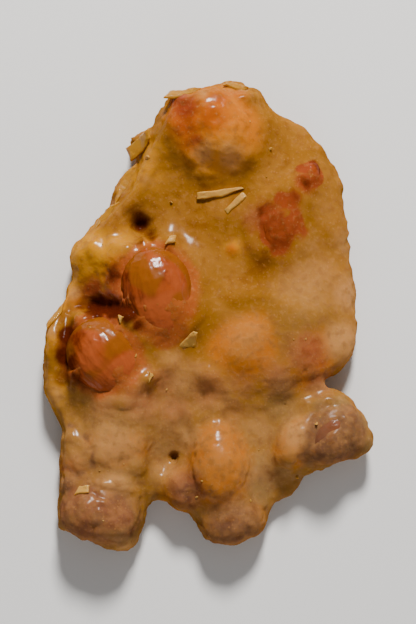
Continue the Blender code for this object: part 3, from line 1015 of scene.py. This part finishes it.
def wrinkle_skin(nut, height, seed):
    """Gives the nut the veins that run along its skin, and says where they are."""
    points = points_of(nut.data)
    middle, rows = own_axes(points)
    local = (points - middle) @ rows.T
    along = local * np.array([0.28, 1.0, 1.0])
    vein = lumps(along, 0.62, seed, sharp=True)
    broad = lumps(along, 1.7, seed + 3.1)
    dents = lumps(local, 3.4, seed + 7.7)
    raised = height * (1.6 * fade(vein, 0.55, 1.0) + 1.2 * broad) + 2.2 * height * dents
    set_points(nut.data, points + raised[:, None] * outward(nut.data))
    keep_values(nut.data, "vein", fade(vein, 0.45, 0.98))


def nut_pieces(settings):
    """One piece for each bare nut."""
    material = skin_material(settings)
    for order, nut in enumerate(BARE_NUTS):
        piece = fine_nut(nut.node, settings.grain)
        wrinkle_skin(piece, settings.wrinkle / MM, 11.0 + 5.3 * order)
        finish_piece(piece, material, "nut_skin", nut.node)


def under_film(points, nut, seed):
    """Whether each point near a nut lies under the film of candy: 1 under it, 0 on bare skin."""
    low, high = (np.array(corner)[:2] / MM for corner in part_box(nut.node))
    side = np.array(nut.film_side)
    along = (points[:, :2] - (low + high) / 2) @ side / (np.abs(high - low) @ np.abs(side) / 2)
    ragged = 0.5 * lumps(points, 3.2, seed) + 0.1 * lumps(points, 1.2, seed + 3.0)
    edge = 1.0 - 2.0 * nut.film_share
    return fade(along + ragged, edge - 0.3, edge + 0.3)


def glaze_nuts(pieces, candy):
    """Says for each nut where the glaze is thick and where shade is painted on its skin."""
    for order, (nut, piece) in enumerate(zip(BARE_NUTS, pieces)):
        points = points_of(piece.data)
        low, high = points.min(axis=0), points.max(axis=0)
        clear = beyond_surface(points, candy, 2.0)
        downhill = (high[1] - points[:, 1]) / (high[1] - low[1])
        uneven = lumps(points, 2.4, 31.0 + order)
        rim = 1.0 - fade(clear + 0.3 * uneven, 0.0, 0.9)
        glaze = np.maximum(0.9 * rim, fade(0.9 * downhill + 0.5 * uneven, 0.35, 1.0))
        uphill = 1.0 - downhill + 0.7 * lumps(points, 3.0, 71.0 + order)
        keep_values(piece.data, "gold", fade(uphill, 0.4, 0.9) * (1.0 - nut.darkness))
        facing = outward(piece.data)
        # Painted shade: the skin is darker in the clefts and on its steep and left-facing sides, and its
        # glaze colour is cut there.
        steep = fade(1.0 - facing[:, 2], 0.3, 0.9)
        left = fade(-facing[:, 0], 0.1, 0.9)
        unshaded_pale_skin = (1.0 - 0.7 * nut.darkness) * (1.0 - 0.5 * steep) * (1.0 - 0.7 * left)
        keep_values(piece.data, "glaze", glaze * unshaded_pale_skin)
        shade = patches(points, SHADED_CLEFTS) + 0.5 * steep + 0.6 * left + 0.5 * nut.darkness
        keep_values(piece.data, "shade", shade)
        keep_values(piece.data, "dull", np.full(len(points), nut.dullness))


def blob_object(blob, extra):
    """A lump of candy as an oval, larger by some millimetres all round."""
    body = bmesh.new()
    bmesh.ops.create_icosphere(body, subdivisions=4, radius=1.0)
    size = Matrix.Diagonal((*((half + extra) * MM for half in blob.half), 1.0))
    turned = Matrix.Rotation(math.radians(blob.turn), 4, "Z") @ size
    body.transform(Matrix.Translation(Vector((blob.x, blob.y, blob.z)) * MM) @ turned)
    mesh = bpy.data.meshes.new("blob")
    body.to_mesh(mesh)
    body.free()
    return add_object("blob", mesh)


def fused(settings):
    """The whole piece as one swollen, remeshed and shrunk surface, so that candy wets each nut."""
    fillet = settings.fillet / MM
    parts = []
    for node in ("candy", *(nut.node for nut in BARE_NUTS)):
        part = joined(f"part_{node}", [frame["nodes"][node].data])
        remesh(part, settings.grain)
        swell(part, fillet)
        parts.append(part)
    parts.extend(blob_object(blob, fillet) for blob in BLOBS)
    whole = joined("candy_body", [part.data for part in parts])
    for part in parts:
        bpy.data.objects.remove(part)
    remesh(whole, settings.grain)
    smooth(whole, 3)
    swell(whole, -fillet)
    smooth(whole, 8)
    return whole


def pool(candy):
    """Fills the candy's hollows, as candy that runs off the nuts does."""
    points = points_of(candy.data)
    away = np.hypot(points[:, 0] - HOLE[0], points[:, 1] - HOLE[1])
    open_here = np.maximum(1.0 - fade(away, *HOLE_REACH), np.minimum(1.0, 1.5 * patches(points, SHADED_CLEFTS)))
    rise = np.clip(evened(candy, POOL_PASSES), 0.0, 1.0) * fade(points[:, 2], *FILLED_FROM)
    lift = POOL_SHARE * rise * (1.0 - open_here)
    set_points(candy.data, points + lift[:, None] * outward(candy.data))


def work_relief(candy, settings):
    """Pulls ripples, snaps facets and bursts bubbles over the candy."""
    pool(candy)
    points = points_of(candy.data)
    normals = outward(candy.data)
    top = fade(normals[:, 2], -0.1, 0.5)
    side = 1.0 - fade(np.abs(normals[:, 2]), 0.25, 0.75)
    base = fade(-normals[:, 2], 0.4, 0.9)
    wild = 1.0 - 0.65 * calm(points)
    flow = points @ np.array([[0.85, 0.45, 0.0], [-0.12, 0.24, 0.0], [0.0, 0.0, 0.6]])
    small = 0.7 * lumps(flow, 1.5, 9.2) + 0.3 * lumps(points, 0.9, 2.4)
    waves = settings.ripple / MM * (lumps(points, 4.5, 5.1) + wild * small)
    facets = lumps(points, 1.5, 41.0, sharp=True) * 0.6 + lumps(points, 3.2, 43.0) * 0.8
    moved = waves * np.maximum(top, 0.25) * (1.0 - base) + settings.chip / MM * side * (facets - 0.3)
    moved += drawn_detail(points) * top * fade(points[:, 2], *DRAWN_FROM)
    knobs = 0.7 * lumps(points, 1.5, 33.0) + 0.6 * lumps(points, 0.8, 35.0)
    moved += settings.knobs / MM * knobs * patches(points, KNOBBLY)
    moved -= burst_bubbles(points, settings.bubbles, 7)
    set_points(candy.data, points + moved[:, None] * normals)


def bare_the_nuts(candy, pieces):
    """Sinks the candy under the bare skins, and leaves a thin ragged film over the rest of them."""
    points = points_of(candy.data)
    uneven = 0.16 * lumps(points, 1.6, 51.0) + 0.1 * lumps(points, 0.6, 53.0)
    moved = np.zeros(len(points))
    for order, (nut, piece) in enumerate(zip(BARE_NUTS, pieces)):
        above = beyond_surface(points, piece, 1.5)
        film = under_film(points, nut, 90.0 + order)
        near = 1.0 - fade(above + uneven, 0.0, 0.35)
        moved -= BARE_DEPTH * near * np.maximum(0.0, 1.0 - 2.0 * film) ** 1.5
        thick = FILM_THICKNESS + DULL_FILM * nut.dullness
        moved += thick * np.maximum(0.0, 2.0 * film - 1.0) * (1.0 - fade(above, 0.1, 0.9))
    set_points(candy.data, points + moved[:, None] * outward(candy.data))


def stain_candy(candy, nuts):
    """Says for each vertex how thin the candy is, where shade is painted into it and what shows through
    it.
    """
    points = points_of(candy.data)
    thin = 1.0 - fade(local_thickness(candy, THICKEST), *CLEAR_FROM)
    left = 1.0 - fade(points[:, 0] + 0.25 * points[:, 1], -8.0, 4.0)
    lower = 1.0 - fade(points[:, 1], *LOWER_FROM)
    clear = thin * (0.25 + 0.75 * left) * (1.0 - 0.8 * lower)
    over = np.zeros(len(points))
    stain = np.zeros(len(points))
    for kernel in COATED_NUTS:
        film = np.maximum(0.0, beyond_kernel(points, kernel))
        near = np.exp(-((film / kernel.veil) ** 2))
        over = np.maximum(over, near * (1.0 - kernel.dullness))
        stain = np.maximum(stain, kernel.redness * near * fade(lumps(points, 3.0, 61.0), -0.35, 0.35))
    near_bare = np.zeros(len(points))
    dusky_and_shade = np.maximum(patches(points, DUSKY_AND_SHADE), folds(points))
    for nut, piece in zip(BARE_NUTS, nuts):
        ragged = (0.5 + 0.6 * nut.darkness) * lumps(points, 2.0, 63.0)
        film = np.maximum(0.0, beyond_surface(points, piece, 4.0) + ragged)
        near = np.exp(-((film / (1.1 - 0.8 * nut.darkness)) ** 2))
        near_bare = np.maximum(near_bare, near * (1.0 - nut.darkness))
        stain = np.maximum(stain, near * min(1.0, 1.6 * nut.darkness) * (1.0 - 0.6 * nut.dullness))
        dusky_and_shade = np.maximum(dusky_and_shade, nut.dullness * np.exp(-((film / 1.4) ** 2)))
    straw = np.maximum(STRAW_SHARE * (1.0 - fade(points[:, 1], *STRAW_FROM)), 0.55 * thin * lower)
    values = {
        # Thin clear candy and the amber patches, one of them painted light at the foot of the top nut.
        "thin": np.maximum(clear, patches(points, AMBERS_AND_LIGHT)),
        "rim": thin * (1.0 - left),
        "calm": calm(points),
        "steep": fade(1.0 - outward(candy.data)[:, 2], 0.15, 0.6),
        # painted shade where smoothing would fill the surface
        "hollow_shade": fade(evened(candy, HOLLOW_PASSES), *HOLLOW_FROM),
        "over_nut": over,
        "near_bare": near_bare,
        "stain": np.maximum(stain, patches(points, STAINS)),
        "straw": np.maximum(straw, patches(points, STRAW)),
        # Painted shade in the clefts and deep hollows and at parts of the dusky patches, painted light at
        # parts of the milky ones.
        "dusky_and_shade": dusky_and_shade,
        "cleft_shade": patches(points, SHADED_CLEFTS),
        "deep_shade": patches(points, DEEP_SHADES),
        "milky_and_light": patches(points, MILKY_AND_LIGHT),
        "rosy": patches(points, ROSY),
        "copper": patches(points, COPPER),
    }
    for name, found in values.items():
        keep_values(candy.data, name, found)


def candy_piece(settings, nuts):
    """The candy: fused, worked, opened over the bare nuts and stained."""
    candy = fused(settings)
    work_relief(candy, settings)
    bare_the_nuts(candy, nuts)
    stain_candy(candy, nuts)
    glaze_nuts(nuts, candy)
    candy.data.shade_smooth()
    finish_piece(candy, candy_material(settings), "candy", "candy")


def chipped(outline, chance):
    """The outline with a small bite between each two of its corners."""
    points = []
    for (x0, y0), (x1, y1) in zip(outline, outline[1:] + outline[:1]):
        for share in (0.0, 0.35, 0.7):
            across, up = x1 - x0, y1 - y0
            jog = chance.uniform(-0.09, 0.09) / math.hypot(across, up) if share else 0.0
            points.append((x0 + across * share - up * jog, y0 + up * share + across * jog))
    return points


def shard_into(body, tree, shard, seed):
    """Adds one thin scrap that lies on the candy."""
    foot, normal = top_at(tree, shard.x, shard.y)
    turn = Matrix.Rotation(math.radians(shard.turn), 3, "Z")
    lean = Matrix.Rotation(math.radians(shard.tilt), 3, "X")
    lie = Vector((0.0, 0.0, 1.0)).rotation_difference(normal).to_matrix()
    place = lie @ turn @ lean
    chance = random.Random(seed)
    outline = chipped(shard.outline, chance)
    length = max(abs(x) for x, y in outline)
    rings = []
    for level, inset in SHARD_RINGS:
        ring = []
        for x, y in outline:
            bent = shard.curl * (x / length) ** 2 + 0.06 * chance.uniform(-1, 1)
            spot = Vector((x * inset, y * inset, (level + 0.2) * shard.depth + bent))
            ring.append(body.verts.new(foot + place @ spot * MM))
        rings.append(ring)
    count = len(outline)
    for low, high in zip(rings[:-1], rings[1:]):
        for side in range(count):
            after = (side + 1) % count
            body.faces.new((low[side], low[after], high[after], high[side]))
    body.faces.new(rings[0][::-1])
    body.faces.new(rings[-1])


def scraps_piece(name, candy, shards, material):
    """One piece of thin snapped scraps, with their edges just rounded."""
    tree = surface_of(candy)
    body = bmesh.new()
    for order, shard in enumerate(shards):
        shard_into(body, tree, shard, 100 + order)
    bmesh.ops.triangulate(body, faces=[face for face in body.faces if len(face.verts) > 4])
    bmesh.ops.recalc_face_normals(body, faces=body.faces)
    bmesh.ops.subdivide_edges(body, edges=body.edges, cuts=1, use_grid_fill=True)
    mesh = bpy.data.meshes.new(name)
    body.to_mesh(mesh)
    body.free()
    scraps = add_object(name, mesh)
    finer = scraps.modifiers.new("finer", "SUBSURF")
    finer.subdivision_type = "SIMPLE"
    finer.levels = 1
    finer.render_levels = 1
    apply_modifiers(scraps)
    smooth(scraps, 1, 0.4)
    points = points_of(scraps.data)
    uneven = 0.03 * lumps(points, 0.5, 81.0)
    set_points(scraps.data, points + uneven[:, None] * outward(scraps.data))
    scraps.data.shade_smooth()
    finish_piece(scraps, material, "candy")


def crumbs_piece(candy, settings):
    """Small crumbs that cling to the piece."""
    tree = surface_of(candy)
    low, high = (np.array(corner) / MM for corner in CAD_BOX)
    chance = random.Random(19)
    body = bmesh.new()
    made = 0
    while made < settings.crumbs:
        x, y = chance.uniform(low[0], high[0]), chance.uniform(low[1], high[1])
        foot, normal = top_at(tree, x, y)
        if foot is None or foot.z < 2.5 * MM or normal.z < 0.6:
            continue
        made += 1
        size = (CRUMB_SMALLEST + CRUMB_SPREAD * chance.random() ** 2.5) * MM
        crumb = bmesh.ops.create_icosphere(body, subdivisions=1, radius=size)["verts"]
        stretch = Vector((1.1 + 0.9 * chance.random(), 1.0, 0.4 + 0.3 * chance.random()))
        turned = Euler([chance.uniform(0.0, math.tau) for _ in range(3)]).to_matrix()
        for vert in crumb:
            jitter = 1.0 + chance.uniform(-0.4, 0.3)
            spot = Vector([a * b for a, b in zip(vert.co, stretch)]) * jitter
            vert.co = foot + turned @ spot + normal * size * 0.3
    mesh = bpy.data.meshes.new("candy_crumbs")
    body.to_mesh(mesh)
    body.free()
    crumbs = add_object("candy_crumbs", mesh)
    finish_piece(crumbs, bpy.data.materials["candy_scrap"], "candy")


def floor_material(settings):
    """A plain pale floor."""
    return Shader("floor_plain").finished({"Base Color": settings.floor, "Roughness": 0.6})


def add_light(name, place, target, size, watts):
    """A soft round light that faces the piece."""
    data = bpy.data.lights.new(name, "AREA")
    data.shape = "DISK"
    data.size = size
    data.energy = watts
    lamp = bpy.data.objects.new(name, data)
    lamp.location = place
    lamp.rotation_euler = (target - lamp.location).to_track_quat("-Z", "Y").to_euler()
    bpy.context.scene.collection.objects.link(lamp)
    return lamp


def set_stage(settings):
    """The floor, the lights and the camera."""
    low, high = CAD_BOX
    centre = (low + high) / 2
    reach = (high - low).length

    ground = bmesh.new()
    bmesh.ops.create_grid(ground, x_segments=1, y_segments=1, size=FLOOR_REACH)
    mesh = bpy.data.meshes.new("floor")
    ground.to_mesh(mesh)
    ground.free()
    floor = add_object("floor", mesh)
    floor.data.materials.append(floor_material(settings))

    # the broad light brightens the slopes that face it, but shows in no reflection
    front = add_light("front", centre + FRONT_FROM, centre, FRONT_BREADTH, settings.front_watts)
    front.visible_glossy = False
    key = add_light("key", centre + KEY_FROM, centre, KEY_BREADTH, settings.key_watts)
    key.data.color = settings.light

    world = bpy.data.worlds.new("studio")
    world.use_nodes = True
    surround = world.node_tree.nodes["Background"]
    surround.inputs["Color"].default_value = (*settings.light, 1.0)
    surround.inputs["Strength"].default_value = settings.fill
    bpy.context.scene.world = world

    camera = bpy.data.objects.new("camera", bpy.data.cameras.new("camera"))
    camera.data.lens = settings.lens_mm
    distance = (high.y - low.y) / SHOWN_SHARE * settings.lens_mm / camera.data.sensor_width
    tilt = settings.elevation
    camera.location = centre + distance * Vector((0.0, -math.cos(tilt), math.sin(tilt)))
    camera.rotation_euler = (math.pi / 2 - tilt, 0.0, 0.0)
    camera.data.clip_start = reach * 0.1
    camera.data.clip_end = reach * 100.0
    bpy.context.scene.collection.objects.link(camera)
    bpy.context.scene.camera = camera


class BRITTLE_OT_nuts(bpy.types.Operator):
    """Make the bare nuts with their wrinkled, glazed skins"""

    bl_idname = "brittle.nuts"
    bl_label = "Make nuts"

    def execute(self, context):
        nut_pieces(context.scene.brittle_nuts)
        return {"FINISHED"}


class BRITTLE_OT_candy(bpy.types.Operator):
    """Make the candy that holds the nuts"""

    bl_idname = "brittle.candy"
    bl_label = "Make candy"

    def execute(self, context):
        nuts = [bpy.data.objects[f"{nut.node}_skin"] for nut in BARE_NUTS]
        candy_piece(context.scene.brittle_candy, nuts)
        return {"FINISHED"}


class BRITTLE_OT_scraps(bpy.types.Operator):
    """Make the flakes, slivers and crumbs of candy"""

    bl_idname = "brittle.scraps"
    bl_label = "Make scraps"

    def execute(self, context):
        candy = bpy.data.objects["candy_body"]
        settings = context.scene.brittle_scraps
        scraps_piece("candy_flakes", candy, FLAKES, scrap_material("candy_flake", settings.clear))
        scraps_piece("candy_slivers", candy, SLIVERS, scrap_material("candy_scrap", settings.pale))
        crumbs_piece(candy, settings)
        return {"FINISHED"}


class BRITTLE_OT_stage(bpy.types.Operator):
    """Set the floor, the lights and the camera"""

    bl_idname = "brittle.stage"
    bl_label = "Set stage"

    def execute(self, context):
        set_stage(context.scene.brittle_stage)
        return {"FINISHED"}


class BRITTLE_PT_panel(bpy.types.Panel):
    """The sizes and colours of the brittle, and the buttons that make it"""

    bl_idname = "BRITTLE_PT_panel"
    bl_label = "Nut brittle"
    bl_space_type = "VIEW_3D"
    bl_region_type = "UI"
    bl_category = "Brittle"

    def draw(self, context):
        for button, group in BUTTONS:
            box = self.layout.box()
            settings = getattr(context.scene, group)
            for name in settings.__annotations__:
                box.prop(settings, name)
            box.operator(button)


BUTTONS = (
    ("brittle.nuts", "brittle_nuts"),
    ("brittle.candy", "brittle_candy"),
    ("brittle.scraps", "brittle_scraps"),
    ("brittle.stage", "brittle_stage"),
)

GROUPS = {
    "brittle_candy": CandySettings,
    "brittle_nuts": NutSettings,
    "brittle_scraps": ScrapSettings,
    "brittle_stage": StageSettings,
}

CLASSES = (
    *GROUPS.values(), BRITTLE_OT_nuts, BRITTLE_OT_candy, BRITTLE_OT_scraps, BRITTLE_OT_stage,
    BRITTLE_PT_panel,
)


def register():
    """Adds the settings, the operators and the panel to Blender."""
    for kind in CLASSES:
        bpy.utils.register_class(kind)
    for name, kind in GROUPS.items():
        setattr(bpy.types.Scene, name, bpy.props.PointerProperty(type=kind))


def unregister():
    """Takes them out again."""
    for name in GROUPS:
        delattr(bpy.types.Scene, name)
    for kind in reversed(CLASSES):
        bpy.utils.unregister_class(kind)


def main():
    """Makes every piece and the stage."""
    register()
    bpy.ops.brittle.nuts()
    bpy.ops.brittle.candy()
    bpy.ops.brittle.scraps()
    bpy.ops.brittle.stage()


if __name__ == "__main__":
    main()
